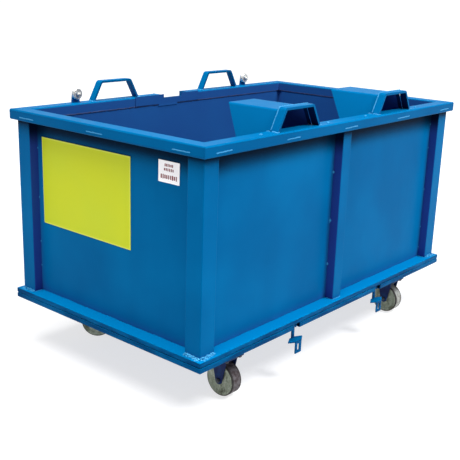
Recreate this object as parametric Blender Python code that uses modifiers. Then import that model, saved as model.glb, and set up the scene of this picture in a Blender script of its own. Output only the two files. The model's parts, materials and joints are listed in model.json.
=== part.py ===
"""Bottom-emptying forklift skip on castors: welded steel box with a drop door.

Frame: +X along the long side, the latches face -Y, the door hinges run along +Y, +Z is up.
The origin is on the ground under the middle of the box. All sizes are in metres.
"""
import math

import bmesh
import bpy
from mathutils import Matrix, Vector

# ---------------------------------------------------------------- driving dimensions
RIM_LENGTH = 1.650
RIM_WIDTH = 1.000
RIM_TOP = 0.957
GAP = 0.0003
JOINT_GAP = 0.0013

TUBE_WIDTH = 0.060
TUBE_HEIGHT = 0.040
TUBE_WALL = 0.003
BAND_HEIGHT = 0.019
BAND_WALL = 0.0025
BASE_BOTTOM = 0.200

PANEL_THICKNESS = 0.003
POST_INSET = 0.020
POST_WALL = 0.003
CORNER_POST_WIDTH = 0.071
MID_POST_WIDTH = 0.056

FORK_SPACING = 0.650
LOOP_FOOT_HALF = 0.126
LOOP_TOP_HALF = 0.082
LOOP_HEIGHT = 0.080
LOOP_BAR = 0.010
LOOP_DEPTH = 0.030
LOOP_INSET = 0.012
LOOP_BEND = 0.016
HOOD_LENGTH = 0.235
HOOD_SHEET = 0.003
HOOD_SLANT = math.radians(40.0)

RIM_CUT_X = 0.011
RIM_CUT_WIDTH = 0.162
RIM_CUT_DEPTH = 0.022
GUIDE_SHEET = 0.003
GUIDE_X = -0.042
GUIDE_LENGTH = 0.389
GUIDE_RISE = 0.003
GUIDE_EDGE = 0.002
NOTCH_X = -0.012
NOTCH_WIDTH = 0.112
NOTCH_DEPTH = 0.013
GUIDE_TAB_WIDTH = 0.115
GUIDE_TAB_DROP = 0.008

PULLEY_X = 0.522
PULLEY_RADIUS = 0.022
PULLEY_WIDTH = 0.014
PULLEY_RISE = 0.034
PULLEY_GROOVE = 0.005
PULLEY_LIP = 0.003
PULLEY_CHAMFER = 0.0015
PULLEY_ROOT_HALF = 0.0014
PULLEY_BOLT = 0.005
PULLEY_HEAD_RADIUS = 0.0085
PULLEY_HEAD = 0.004
TAB_THICKNESS = 0.008
TAB_WIDTH = 0.040
TAB_TOP_RADIUS = 0.016
TAB_SETBACK = 0.020

BOARD_LENGTH = 0.488
BOARD_HEIGHT = 0.335
BOARD_Y = 0.136
BOARD_Z = 0.692
BOARD_THICKNESS = 0.002
PLATE_LENGTH = 0.097
PLATE_HEIGHT = 0.074
PLATE_Y = -0.293
PLATE_Z = 0.836

DOOR_PLATE = 0.004
MEMBER_WIDTH = 0.110
MEMBER_WALL = 0.004
CASTOR_X = 0.574
CASTOR_Y = 0.391
SWIVEL_Y = 0.374
SWIVEL_TRAIL = 0.045
SWIVEL_REST_TURN = math.radians(38.0)
WHEEL_RADIUS = 0.0625
WHEEL_WIDTH = 0.050
WHEEL_HEADROOM = 0.035
WHEEL_RECESS = 0.002
WHEEL_BAND = 0.016
WHEEL_CHAMFER = 0.003
HUB_RADIUS = 0.020
HUB_PROUD = 0.002
AXLE_RADIUS = 0.006
AXLE_HEAD_RADIUS = 0.0095
AXLE_HEAD = 0.0045
FORK_WALL = 0.004
FORK_CLEARANCE = 0.0008
FORK_TOP_LENGTH = 0.070
FORK_TIP_RADIUS = 0.016
CASTOR_PLATE = 0.006
CASTOR_PLATE_LENGTH = 0.105
CASTOR_PLATE_WIDTH = 0.090
RACE_HEIGHT = 0.010
RACE_RADIUS = 0.030

HINGE_X = 0.520
HINGE_REACH = 0.012
BARREL_RADIUS = 0.011
BARREL_CLEARANCE = 0.0015
HINGE_PIN_RADIUS = 0.006
HINGE_BORE_CLEARANCE = 0.0004
DOOR_BARREL_LENGTH = 0.060
BODY_BARREL_LENGTH = 0.040
BARREL_GAP = 0.0005
LEAF_THICKNESS = 0.0045

LATCH_X = 0.290
LATCH_REACH = 0.012
LATCH_SLOT_WIDTH = 0.040
CLEVIS_WALL = 0.0035
CLEVIS_SIDE_CLEARANCE = 0.0006
LATCH_PIN_RADIUS = 0.004
LATCH_STEM_WIDTH = 0.012
LATCH_STEM_DEPTH = 0.008
LATCH_EYE_RADIUS = 0.0085
LATCH_PIVOT_INSET = 0.018
LATCH_HANG = 0.094
TONGUE_RISE = 0.011
KEEPER_CLEARANCE = 0.002
WING_SPAN = 0.091
WING_BACK_HALF = 0.015
WING_Z_DROP = 0.042
WING_THICKNESS = 0.006
PULL_WIDTH = 0.038
PULL_THICKNESS = 0.005
PULL_SLOT_WIDTH = 0.012
PULL_SLOT_HEIGHT = 0.026

SEGMENTS = 24
SMALL_SEGMENTS = 12
HEXAGON = 6

# ---------------------------------------------------------------- worked-out places
HALF_L = RIM_LENGTH / 2
HALF_W = RIM_WIDTH / 2
RIM_BOTTOM = RIM_TOP - TUBE_HEIGHT
RAIL_TOP = BASE_BOTTOM + BAND_HEIGHT
BAND_BOTTOM = RAIL_TOP + JOINT_GAP
BAND_TOP = BAND_BOTTOM + BAND_HEIGHT
WALL_BOTTOM = BAND_TOP + GAP
WALL_TOP = RIM_BOTTOM - GAP
INNER_X = HALF_L - TUBE_WIDTH
INNER_Y = HALF_W - TUBE_WIDTH
PANEL_X = INNER_X + PANEL_THICKNESS
PANEL_Y = INNER_Y + PANEL_THICKNESS
POST_X = HALF_L - POST_INSET
POST_Y = HALF_W - POST_INSET
LOOP_Y = HALF_W - LOOP_INSET - LOOP_DEPTH / 2
LOOP_BASE = RIM_TOP + GAP
LOOP_SLOPE = (LOOP_FOOT_HALF - LOOP_TOP_HALF) / LOOP_HEIGHT
HINGE_AXIS = Vector((0.0, HALF_W + HINGE_REACH - BARREL_RADIUS, (RAIL_TOP + BAND_BOTTOM) / 2))
LATCH_PIVOT_Y = -HALF_W + LATCH_PIVOT_INSET
LATCH_PIVOT_Z = BASE_BOTTOM + BAND_HEIGHT / 2
TONGUE_END = BAND_BOTTOM + TONGUE_RISE - LATCH_PIVOT_Z
TONGUE_SWING = math.hypot(LATCH_STEM_DEPTH / 2, TONGUE_END) + KEEPER_CLEARANCE
LATCH_SLOT_BACK = LATCH_PIVOT_Y + TONGUE_SWING + CLEVIS_WALL + GAP
CASTOR_HEIGHT = 2 * WHEEL_RADIUS + WHEEL_HEADROOM
FLOOR_TOP = RAIL_TOP
FLOOR_BOTTOM = FLOOR_TOP - DOOR_PLATE

SIDES = (("left", -1), ("right", 1))


# ---------------------------------------------------------------- scene and materials
def clear_scene():
    for item in list(bpy.data.objects):
        bpy.data.objects.remove(item, do_unlink=True)


def new_collection(name):
    collection = bpy.data.collections.new(name)
    bpy.context.scene.collection.children.link(collection)
    return collection


def new_material(name, color, roughness, metallic):
    material = bpy.data.materials.new(name)
    material.use_nodes = True
    shader = material.node_tree.nodes["Principled BSDF"]
    shader.inputs["Base Color"].default_value = (*color, 1.0)
    shader.inputs["Roughness"].default_value = roughness
    shader.inputs["Metallic"].default_value = metallic
    return material


clear_scene()
PARTS = new_collection("drop_bottom_skip")
CUTTERS = new_collection("cutters")
BLUE = new_material("blue_paint", (0.004, 0.130, 0.380), 0.35, 0.0)
YELLOW = new_material("yellow_board", (0.530, 0.600, 0.030), 0.45, 0.0)
WHITE = new_material("white_plate", (0.800, 0.800, 0.780), 0.40, 0.0)
DARK = new_material("dark_fork", (0.010, 0.020, 0.060), 0.45, 0.2)
NYLON = new_material("nylon_wheel", (0.420, 0.420, 0.300), 0.55, 0.0)
ZINC = new_material("zinc_steel", (0.620, 0.620, 0.600), 0.30, 1.0)


# ---------------------------------------------------------------- building blocks
def new_object(name, mesh, place, material, collection=PARTS):
    item = bpy.data.objects.new(name, mesh)
    item.location = place
    item.data.materials.append(material)
    collection.objects.link(item)
    return item


def mesh_from(name, bm):
    mesh = bpy.data.meshes.new(name)
    bm.to_mesh(mesh)
    bm.free()
    return mesh


def box(name, low, high, material, collection=PARTS):
    """A block between two corners, with its origin at its middle."""
    low, high = Vector(low), Vector(high)
    bm = bmesh.new()
    bmesh.ops.create_cube(bm, size=1.0)
    bmesh.ops.scale(bm, vec=high - low, verts=bm.verts)
    return new_object(name, mesh_from(name, bm), (low + high) / 2, material, collection)


def cylinder(name, radius, length, place, axis, material, collection=PARTS, segments=SEGMENTS):
    """A round bar of a given length along X, Y or Z, with its origin at its middle."""
    bm = bmesh.new()
    bmesh.ops.create_cone(bm, cap_ends=True, segments=segments, radius1=radius, radius2=radius, depth=length)
    turns = {"X": Matrix.Rotation(math.pi / 2, 3, "Y"), "Y": Matrix.Rotation(math.pi / 2, 3, "X")}
    if axis in turns:
        bmesh.ops.rotate(bm, verts=bm.verts, matrix=turns[axis])
    mesh = mesh_from(name, bm)
    mesh.shade_smooth()
    mesh.set_sharp_from_angle(angle=math.radians(40))
    return new_object(name, mesh, place, material, collection)


def outline(name, points, thickness, place, axis, material, collection=PARTS):
    """A flat plate cut to an outline: (x, y) about Z, (y, z) about X, (x, z) about Y."""
    curve = bpy.data.curves.new(name, "CURVE")
    curve.dimensions = "2D"
    curve.fill_mode = "BOTH"
    curve.extrude = thickness / 2
    spline = curve.splines.new("POLY")
    spline.points.add(len(points) - 1)
    for point, (u, v) in zip(spline.points, points):
        point.co = (u, v, 0.0, 1.0)
    spline.use_cyclic_u = True
    source = bpy.data.objects.new(name + "_outline", curve)
    CUTTERS.objects.link(source)
    if axis == "X":
        source.matrix_world = Matrix(((0, 0, 1), (1, 0, 0), (0, 1, 0))).to_4x4()
    if axis == "Y":
        source.matrix_world = Matrix.Rotation(math.pi / 2, 4, "X")
    bpy.context.view_layer.update()
    graph = bpy.context.evaluated_depsgraph_get()
    mesh = bpy.data.meshes.new_from_object(source.evaluated_get(graph))
    mesh.transform(source.matrix_world)
    bpy.data.objects.remove(source, do_unlink=True)
    bm = bmesh.new()
    bm.from_mesh(mesh)
    bmesh.ops.remove_doubles(bm, verts=bm.verts, dist=0.00001)
    bmesh.ops.recalc_face_normals(bm, faces=bm.faces)
    bm.to_mesh(mesh)
    bm.free()
    mesh.name = name
    mesh.materials.clear()
    return new_object(name, mesh, place, material, collection)


def turned(name, profile, place, material, segments=SEGMENTS):
    """A piece turned about X; the closed profile is (radius, x), down its outer side."""
    bm = bmesh.new()
    verts = [bm.verts.new((radius, 0.0, along)) for radius, along in profile]
    for first, second in zip(verts, verts[1:] + verts[:1]):
        bm.edges.new((first, second))
    item = new_object(name, mesh_from(name, bm), place, material)
    screw = item.modifiers.new("turn", "SCREW")
    screw.steps = segments
    screw.render_steps = segments
    screw.use_merge_vertices = True
    screw.merge_threshold = 0.00001
    screw.use_smooth_shade = True
    item.rotation_euler = (0.0, math.pi / 2, 0.0)
    return item


def folded(name, path, low, high, axis, sheet, material):
    """Sheet folded along a path and run between two levels of an axis; it thickens to its left."""
    bm = bmesh.new()
    spots = [(u, v, low) if axis == "Z" else (u, low, v) for u, v in path]
    verts = [bm.verts.new(spot) for spot in spots]
    edges = [bm.edges.new(pair) for pair in zip(verts, verts[1:])]
    grown = bmesh.ops.extrude_edge_only(bm, edges=edges)
    rise = Vector((0, 0, high - low)) if axis == "Z" else Vector((0, high - low, 0))
    moved = [item for item in grown["geom"] if isinstance(item, bmesh.types.BMVert)]
    bmesh.ops.translate(bm, vec=rise, verts=moved)
    item = new_object(name, mesh_from(name, bm), (0, 0, 0), material)
    shell = item.modifiers.new("sheet", "SOLIDIFY")
    shell.thickness = sheet
    shell.offset = 1.0 if axis == "Z" else -1.0
    shell.use_even_offset = True
    return item


def as_cutter(item):
    for collection in list(item.users_collection):
        collection.objects.unlink(item)
    CUTTERS.objects.link(item)
    item.hide_render = True
    item.display_type = "WIRE"
    return item


def combine(target, tool, operation):
    modifier = target.modifiers.new(operation.lower() + "_" + tool.name, "BOOLEAN")
    modifier.operation = operation
    modifier.object = as_cutter(tool)
    modifier.solver = "EXACT"
    return target


def cut(target, tool):
    return combine(target, tool, "DIFFERENCE")


def add(target, tool):
    return combine(target, tool, "UNION")


def arc(centre, radius, start, stop, steps):
    """Points of an arc in degrees, both ends included."""
    angles = [math.radians(start + (stop - start) * step / steps) for step in range(steps + 1)]
    return [(centre[0] + radius * math.cos(a), centre[1] + radius * math.sin(a)) for a in angles]


def rounded(path, radius, steps=4):
    """An open path with its inner corners turned into arcs of a radius."""
    result = [path[0]]
    for before, corner, after in zip(path, path[1:], path[2:]):
        spot = Vector(corner)
        back = (Vector(before) - spot).normalized()
        ahead = (Vector(after) - spot).normalized()
        half = back.angle(ahead) / 2
        centre = spot + (back + ahead).normalized() * radius / math.sin(half)
        first = spot + back * radius / math.tan(half) - centre
        last = spot + ahead * radius / math.tan(half) - centre
        for step in range(steps + 1):
            result.append(tuple(centre + first.lerp(last, step / steps).normalized() * radius))
    result.append(path[-1])
    return result


def holder(name, place):
    empty = bpy.data.objects.new(name, None)
    empty.location = place
    PARTS.objects.link(empty)
    return empty


def world_place(item):
    place = item.location.copy()
    while item.parent:
        item = item.parent
        place += item.location
    return place


def attach(item, parent):
    """Parent a piece and the tools that shape it to a holder, and keep their places."""
    tools = [modifier.object for modifier in item.modifiers if modifier.type == "BOOLEAN"]
    for piece in (item, *tools):
        piece.location = piece.location - world_place(parent)
        piece.parent = parent
    return item


# ---------------------------------------------------------------- frames of mitred tube
def mitred_tube(name, side, height, low, wall):
    """One hollow side of a rectangular frame, mitred at both ends."""
    spans = {"near": RIM_LENGTH, "far": RIM_LENGTH, "left": RIM_WIDTH, "right": RIM_WIDTH}
    turns = {"near": 0.0, "far": math.pi, "left": -math.pi / 2, "right": math.pi / 2}
    reach = {"near": HALF_W, "far": HALF_W, "left": HALF_L, "right": HALF_L}[side]
    length, turn = spans[side], turns[side]
    bm = bmesh.new()
    bmesh.ops.create_cube(bm, size=1.0)
    bmesh.ops.scale(bm, vec=(length - 2 * GAP, TUBE_WIDTH, height), verts=bm.verts)
    for vert in bm.verts:
        if vert.co.y > 0:
            vert.co.x -= math.copysign(TUBE_WIDTH, vert.co.x)
    place = Matrix.Rotation(turn, 3, "Z") @ Vector((0, TUBE_WIDTH / 2 - reach, 0))
    place.z = low + height / 2
    tube = new_object(name, mesh_from(name, bm), place, BLUE)
    tube.rotation_euler.z = turn
    inside = Vector((length, TUBE_WIDTH - 2 * wall, height - 2 * wall)) / 2
    bore = box(name + "_bore", -inside, inside, BLUE, CUTTERS)
    bore.location = place
    bore.rotation_euler.z = turn
    return cut(tube, bore)


def top_rim():
    tubes = {side: mitred_tube("rim_tube_" + side, side, TUBE_HEIGHT, RIM_BOTTOM, TUBE_WALL)
             for side in ("near", "far", "left", "right")}
    half = RIM_CUT_WIDTH / 2 + GUIDE_SHEET + GAP
    floor = RIM_TOP - RIM_CUT_DEPTH - GUIDE_SHEET - GAP
    low = (RIM_CUT_X - half, INNER_Y - GAP, floor)
    high = (RIM_CUT_X + half, HALF_W + GAP, RIM_TOP + GAP)
    cut(tubes["far"], box("rim_cut", low, high, BLUE))


def cord_guide():
    """Liner of the cut in the far rim, and a notched plate across it on the inner face."""
    half = RIM_CUT_WIDTH / 2
    floor = RIM_TOP - RIM_CUT_DEPTH
    face = INNER_Y - GAP
    back = face + GAP / 3
    low = (RIM_CUT_X - half - GUIDE_SHEET, face, floor - GUIDE_SHEET)
    guide = box("cord_guide", low, (RIM_CUT_X + half + GUIDE_SHEET, HALF_W, RIM_TOP), BLUE)
    low = (RIM_CUT_X - half, face - GAP, floor)
    cut(guide, box("liner_cutter", low, (RIM_CUT_X + half, HALF_W + GAP, RIM_TOP + GAP), BLUE))
    low = (GUIDE_X - GUIDE_LENGTH / 2, face - GUIDE_SHEET, RIM_BOTTOM + GUIDE_EDGE)
    add(guide, box("guide_plate", low, (GUIDE_X + GUIDE_LENGTH / 2, back, RIM_TOP + GUIDE_RISE), BLUE))
    low = (GUIDE_X - GUIDE_TAB_WIDTH / 2, face - GUIDE_SHEET, RIM_BOTTOM - GUIDE_TAB_DROP)
    high = (GUIDE_X + GUIDE_TAB_WIDTH / 2, back, RIM_BOTTOM + 2 * GUIDE_EDGE)
    add(guide, box("guide_tab", low, high, BLUE))
    low = (NOTCH_X - NOTCH_WIDTH / 2, face - 2 * GUIDE_SHEET, RIM_TOP - NOTCH_DEPTH)
    high = (NOTCH_X + NOTCH_WIDTH / 2, back + GAP, RIM_TOP + 2 * GUIDE_RISE)
    cut(guide, box("cord_notch", low, high, BLUE))


# ---------------------------------------------------------------- walls and posts
def walls():
    for side, sign in (("near", -1), ("far", 1)):
        faces = sorted((sign * INNER_Y, sign * PANEL_Y))
        reach = INNER_X - GAP
        box("panel_" + side, (-reach, faces[0], WALL_BOTTOM), (reach, faces[1], WALL_TOP), BLUE)
        post_path = [(-MID_POST_WIDTH / 2, sign * (PANEL_Y + GAP)), (-MID_POST_WIDTH / 2, sign * POST_Y),
                     (MID_POST_WIDTH / 2, sign * POST_Y), (MID_POST_WIDTH / 2, sign * (PANEL_Y + GAP))]
        if sign > 0:
            post_path.reverse()
        folded("mid_post_" + side, post_path, WALL_BOTTOM, WALL_TOP, "Z", POST_WALL, BLUE)
    for side, sign in SIDES:
        faces = sorted((sign * INNER_X, sign * PANEL_X))
        box("panel_" + side, (faces[0], -PANEL_Y, WALL_BOTTOM), (faces[1], PANEL_Y, WALL_TOP), BLUE)


def corner_posts():
    for depth, along in (("near", -1), ("far", 1)):
        for side, across in SIDES:
            path = [(across * (POST_X - CORNER_POST_WIDTH), along * (PANEL_Y + GAP)),
                    (across * (POST_X - CORNER_POST_WIDTH), along * POST_Y),
                    (across * POST_X, along * POST_Y),
                    (across * POST_X, along * (POST_Y - CORNER_POST_WIDTH)),
                    (across * (PANEL_X + GAP), along * (POST_Y - CORNER_POST_WIDTH))]
            if across * along > 0:
                path.reverse()
            folded(f"corner_post_{depth}_{side}", path, WALL_BOTTOM, WALL_TOP, "Z", POST_WALL, BLUE)


# ---------------------------------------------------------------- base flange
def hinge_clearance(name, sign):
    reach = DOOR_BARREL_LENGTH / 2 + BODY_BARREL_LENGTH + 4 * BARREL_GAP
    place = (sign * HINGE_X, HINGE_AXIS.y, HINGE_AXIS.z)
    return cylinder(name, BARREL_RADIUS + BARREL_CLEARANCE, 2 * reach, place, "X", BLUE)


def base_flange():
    for side in ("near", "far", "left", "right"):
        tube = mitred_tube("base_flange_" + side, side, BAND_HEIGHT, BAND_BOTTOM, BAND_WALL)
        if side == "far":
            for name, sign in SIDES:
                cut(tube, hinge_clearance("flange_hinge_cutter_" + name, sign))
        if side == "near":
            for name, sign in SIDES:
                cut(tube, keeper_cutter(name, sign * LATCH_X))


def keeper_cutter(name, x):
    """Slot through the lower wall of the flange that a latch tongue stands in and swings along."""
    half_x = LATCH_STEM_WIDTH / 2 + KEEPER_CLEARANCE
    half_y = LATCH_STEM_DEPTH / 2 + KEEPER_CLEARANCE
    low = (x - half_x, LATCH_PIVOT_Y - half_y, BAND_BOTTOM - GAP)
    high = (x + half_x, LATCH_PIVOT_Y + TONGUE_SWING, BAND_BOTTOM + BAND_HEIGHT / 2)
    return box("keeper_cutter_" + name, low, high, BLUE)


# ---------------------------------------------------------------- fork ways
def loop_path(half_foot, half_top, top):
    """Bent bar path across a fork way: foot, two bends, foot; heights above the rim."""
    return [(half_foot, 0.0), (half_top, top), (-half_top, top), (-half_foot, 0.0)]


def fork_ways():
    for name, sign in SIDES:
        middle = sign * FORK_SPACING / 2
        path = rounded(loop_path(LOOP_FOOT_HALF, LOOP_TOP_HALF, LOOP_HEIGHT), LOOP_BEND)
        placed = [(middle + u, LOOP_BASE + v) for u, v in path]
        for kind, depth in (("fork_collar_", -LOOP_Y), ("fork_loop_", LOOP_Y)):
            low, high = depth - LOOP_DEPTH / 2, depth + LOOP_DEPTH / 2
            bar = folded(kind + name, placed, low, high, "Y", LOOP_BAR, BLUE)
            reach = Vector((2 * LOOP_FOOT_HALF, LOOP_DEPTH, 2 * LOOP_BAR))
            trim = box(kind + name + "_trim", -reach, (reach.x, reach.y, 0.0), BLUE)
            trim.location += Vector((middle, depth, LOOP_BASE))
            cut(bar, trim)
        hood(name, middle)


def hood(name, middle):
    """Sheet roof behind a collar: its cheeks run down to the wall on a slant."""
    top = LOOP_HEIGHT - LOOP_BAR
    half_top = LOOP_TOP_HALF - LOOP_BAR * (1 / math.cos(math.atan(LOOP_SLOPE)) - LOOP_SLOPE)
    start = -LOOP_Y + LOOP_DEPTH / 2 + GAP
    stop = start + HOOD_LENGTH
    floor = top - (stop + INNER_Y) / math.tan(HOOD_SLANT) - LOOP_BAR
    half_foot = half_top + (top - floor) * LOOP_SLOPE
    path = [(middle + half_foot, LOOP_BASE + floor), (middle + half_top, LOOP_BASE + top),
            (middle - half_top, LOOP_BASE + top), (middle - half_foot, LOOP_BASE + floor)]
    item = folded("fork_hood_" + name, path, start, stop, "Y", HOOD_SHEET, BLUE)
    reach = 2 * half_foot
    low = (middle - reach, start - GAP, LOOP_BASE + floor - LOOP_BAR)
    cut(item, box(f"hood_{name}_rim_cutter", low, (middle + reach, -INNER_Y + GAP, LOOP_BASE), BLUE))
    wedge = box(f"hood_{name}_slant_cutter", (-reach, 0, -reach), (reach, reach, reach), BLUE)
    wedge.data.transform(Matrix.Translation((0, reach / 2, 0)))
    wedge.location = (middle, stop, LOOP_BASE + top)
    wedge.rotation_euler.x = -HOOD_SLANT
    cut(item, wedge)


# ---------------------------------------------------------------- pulleys on the far rim
def pulleys():
    face = HALF_W - TAB_SETBACK
    height = RIM_TOP + PULLEY_RISE
    half = TAB_WIDTH / 2
    foot = GAP - PULLEY_RISE
    for name, sign in SIDES:
        x = sign * PULLEY_X
        tab_outline = [(-half, foot), (half, foot), *arc((0, 0), TAB_TOP_RADIUS, 0, 180, SMALL_SEGMENTS)]
        tab = outline("pulley_tab_" + name, tab_outline, TAB_THICKNESS,
                      (x, face + TAB_THICKNESS / 2, height), "Y", BLUE)
        cap_y = face - 2 * GAP - PULLEY_WIDTH - PULLEY_HEAD / 2
        stub_end = face + TAB_THICKNESS / 2
        stub = cylinder(f"tab_{name}_stub", PULLEY_BOLT, stub_end - cap_y,
                        (x, (stub_end + cap_y) / 2, height), "Y", BLUE, segments=SMALL_SEGMENTS)
        cap = cylinder(f"tab_{name}_head", PULLEY_HEAD_RADIUS, PULLEY_HEAD, (x, cap_y, height), "Y", BLUE,
                       segments=HEXAGON)
        add(add(tab, stub), cap)
        axle = holder("pulley_axle_" + name, (x, face - GAP - PULLEY_WIDTH / 2, height))
        sheave = attach(turned("pulley_" + name, pulley_profile(), axle.location, ZINC), axle)
        sheave.rotation_euler = (math.pi / 2, 0.0, 0.0)


def pulley_profile():
    """Closed (radius, along the axle) section of a grooved pulley."""
    bore = PULLEY_BOLT + GAP
    side = PULLEY_WIDTH / 2
    root = PULLEY_RADIUS - PULLEY_GROOVE
    upper = [(bore, side), (PULLEY_RADIUS - PULLEY_CHAMFER, side), (PULLEY_RADIUS, side - PULLEY_CHAMFER),
             (PULLEY_RADIUS, side - PULLEY_LIP), (root, PULLEY_ROOT_HALF)]
    return upper + [(radius, -along) for radius, along in reversed(upper)]


# ---------------------------------------------------------------- boards on the left end
def boards():
    face = -PANEL_X - GAP
    for name, y, z, length, height, material in (
            ("sign_board", BOARD_Y, BOARD_Z, BOARD_LENGTH, BOARD_HEIGHT, YELLOW),
            ("rating_plate", PLATE_Y, PLATE_Z, PLATE_LENGTH, PLATE_HEIGHT, WHITE)):
        low = (face - BOARD_THICKNESS, y - length / 2, z - height / 2)
        box(name, low, (face, y + length / 2, z + height / 2), material)


# ---------------------------------------------------------------- drop door
def drop_door(door):
    for side in ("near", "far", "left", "right"):
        rail = attach(mitred_tube("door_rail_" + side, side, BAND_HEIGHT, BASE_BOTTOM, BAND_WALL), door)
        for name, sign in SIDES:
            if side == "far":
                cut(rail, hinge_clearance("rail_hinge_cutter_" + name, sign))
            if side == "near":
                low = (sign * LATCH_X - LATCH_SLOT_WIDTH / 2, -HALF_W - GAP, BASE_BOTTOM - GAP)
                high = (sign * LATCH_X + LATCH_SLOT_WIDTH / 2, LATCH_SLOT_BACK, RAIL_TOP + GAP)
                cut(rail, box("rail_latch_cutter_" + name, low, high, BLUE))
    reach = Vector((INNER_X - GAP, INNER_Y - GAP))
    attach(box("door_plate", (-reach.x, -reach.y, FLOOR_BOTTOM), (reach.x, reach.y, FLOOR_TOP), BLUE), door)
    half = MEMBER_WIDTH / 2
    top = FLOOR_BOTTOM - GAP
    for name, sign in SIDES:
        middle = sign * CASTOR_X
        path = [(middle - half, top), (middle - half, CASTOR_HEIGHT), (middle + half, CASTOR_HEIGHT),
                (middle + half, top)]
        attach(folded("cross_member_" + name, path, -reach.y, reach.y, "Y", MEMBER_WALL, BLUE), door)


def hinges(door):
    """Two hangers with fixed pins on the body, and a knuckle on the door turning on each pin."""
    face = HALF_W + GAP
    outer = face + LEAF_THICKNESS
    shift = DOOR_BARREL_LENGTH / 2 + BARREL_GAP + BODY_BARREL_LENGTH / 2
    for name, sign in SIDES:
        centre = Vector((sign * HINGE_X, HINGE_AXIS.y, HINGE_AXIS.z))
        pin_length = 2 * shift + BODY_BARREL_LENGTH
        hanger = cylinder("hinge_hanger_" + name, HINGE_PIN_RADIUS, pin_length, centre, "X", BLUE)
        for end in (-1, 1):
            spot = centre + Vector((end * shift, 0, 0))
            barrel_name = f"hanger_barrel_{name}_{end}"
            add(hanger, cylinder(barrel_name, BARREL_RADIUS, BODY_BARREL_LENGTH, spot, "X", BLUE))
            half = BODY_BARREL_LENGTH / 2 - GAP
            low = (spot.x - half, face, centre.z)
            add(hanger, box(f"hanger_leaf_{name}_{end}", low, (spot.x + half, outer, BAND_TOP - GAP), BLUE))
        knuckle = cylinder("hinge_knuckle_" + name, BARREL_RADIUS, DOOR_BARREL_LENGTH, centre, "X", BLUE)
        half = DOOR_BARREL_LENGTH / 2 - GAP
        low = (centre.x - half, face, BASE_BOTTOM + GAP)
        add(knuckle, box("knuckle_leaf_" + name, low, (centre.x + half, outer, centre.z), BLUE))
        bore = HINGE_PIN_RADIUS + HINGE_BORE_CLEARANCE
        cut(knuckle, cylinder("knuckle_bore_" + name, bore, 2 * DOOR_BARREL_LENGTH, centre, "X", BLUE))
        attach(knuckle, door)


# ---------------------------------------------------------------- latches
def latches(door):
    """Levers on the door's latch side: each tongue stands in a keeper slot of the flange above."""
    for name, sign in SIDES:
        x = sign * LATCH_X
        attach(clevis(name, x), door)
        axis = attach(holder("latch_axis_" + name, (x, LATCH_PIVOT_Y, LATCH_PIVOT_Z)), door)
        attach(latch_lever(name, x), axis)


def clevis(name, x):
    """Bracket in the slot of the door rail with a welded pin for a latch lever."""
    inner = LATCH_STEM_WIDTH / 2 + CLEVIS_SIDE_CLEARANCE
    outer = inner + CLEVIS_WALL
    back = LATCH_SLOT_BACK - GAP
    front = LATCH_PIVOT_Y - LATCH_EYE_RADIUS
    low = (x - outer, front, BASE_BOTTOM + GAP)
    bracket = box("latch_clevis_" + name, low, (x + outer, back, RAIL_TOP), BLUE)
    low = (x - inner, front - GAP, BASE_BOTTOM)
    cut(bracket, box("clevis_cutter_" + name, low, (x + inner, back - CLEVIS_WALL, RAIL_TOP + GAP), BLUE))
    pin = cylinder("clevis_pin_" + name, LATCH_PIN_RADIUS, 2 * outer + CLEVIS_WALL,
                   (x, LATCH_PIVOT_Y, LATCH_PIVOT_Z), "X", BLUE)
    return add(bracket, pin)


def latch_lever(name, x):
    """Tongue, eye and stem in one bar, with a winged foot plate and a slotted pull plate below."""
    half = LATCH_STEM_DEPTH / 2
    wing_top = BASE_BOTTOM - WING_Z_DROP
    stem_end = wing_top - WING_THICKNESS / 2 - LATCH_PIVOT_Z
    neck = math.degrees(math.acos(half / LATCH_EYE_RADIUS))
    points = [(-half, stem_end), (half, stem_end), *arc((0, 0), LATCH_EYE_RADIUS, -neck, neck, 8),
              (half, TONGUE_END), (-half, TONGUE_END)]
    points += arc((0, 0), LATCH_EYE_RADIUS, 180 - neck, 180 + neck, 8)
    place = Vector((x, LATCH_PIVOT_Y, LATCH_PIVOT_Z))
    lever = outline("latch_lever_" + name, points, LATCH_STEM_WIDTH, place, "X", BLUE)
    cut(lever, cylinder("lever_hole_" + name, LATCH_PIN_RADIUS + GAP, 3 * LATCH_STEM_WIDTH, place, "X", BLUE))
    front = -HALF_W - LATCH_REACH - LATCH_PIVOT_Y
    back = LATCH_STEM_DEPTH / 2
    waist = PULL_WIDTH / 2
    wings = [(-WING_SPAN / 2, (front + back) / 2), (-waist, front), (waist, front),
             (WING_SPAN / 2, (front + back) / 2), (WING_BACK_HALF, back), (-WING_BACK_HALF, back)]
    add(lever, outline("lever_wings_" + name, wings, WING_THICKNESS,
                       (x, LATCH_PIVOT_Y, wing_top - WING_THICKNESS / 2), "Z", BLUE))
    low = (x - waist + GAP, LATCH_PIVOT_Y + front, BASE_BOTTOM - LATCH_HANG)
    high = (x + waist - GAP, LATCH_PIVOT_Y + front + PULL_THICKNESS, wing_top - WING_THICKNESS / 2)
    pull = box("lever_pull_" + name, low, high, BLUE)
    middle = Vector((x, LATCH_PIVOT_Y + front, (low[2] + high[2]) / 2))
    slot_half = Vector((PULL_SLOT_WIDTH / 2, 2 * PULL_THICKNESS, PULL_SLOT_HEIGHT / 2))
    add(lever, pull)
    return cut(lever, box("pull_slot_" + name, middle - slot_half, middle + slot_half, BLUE))


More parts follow.
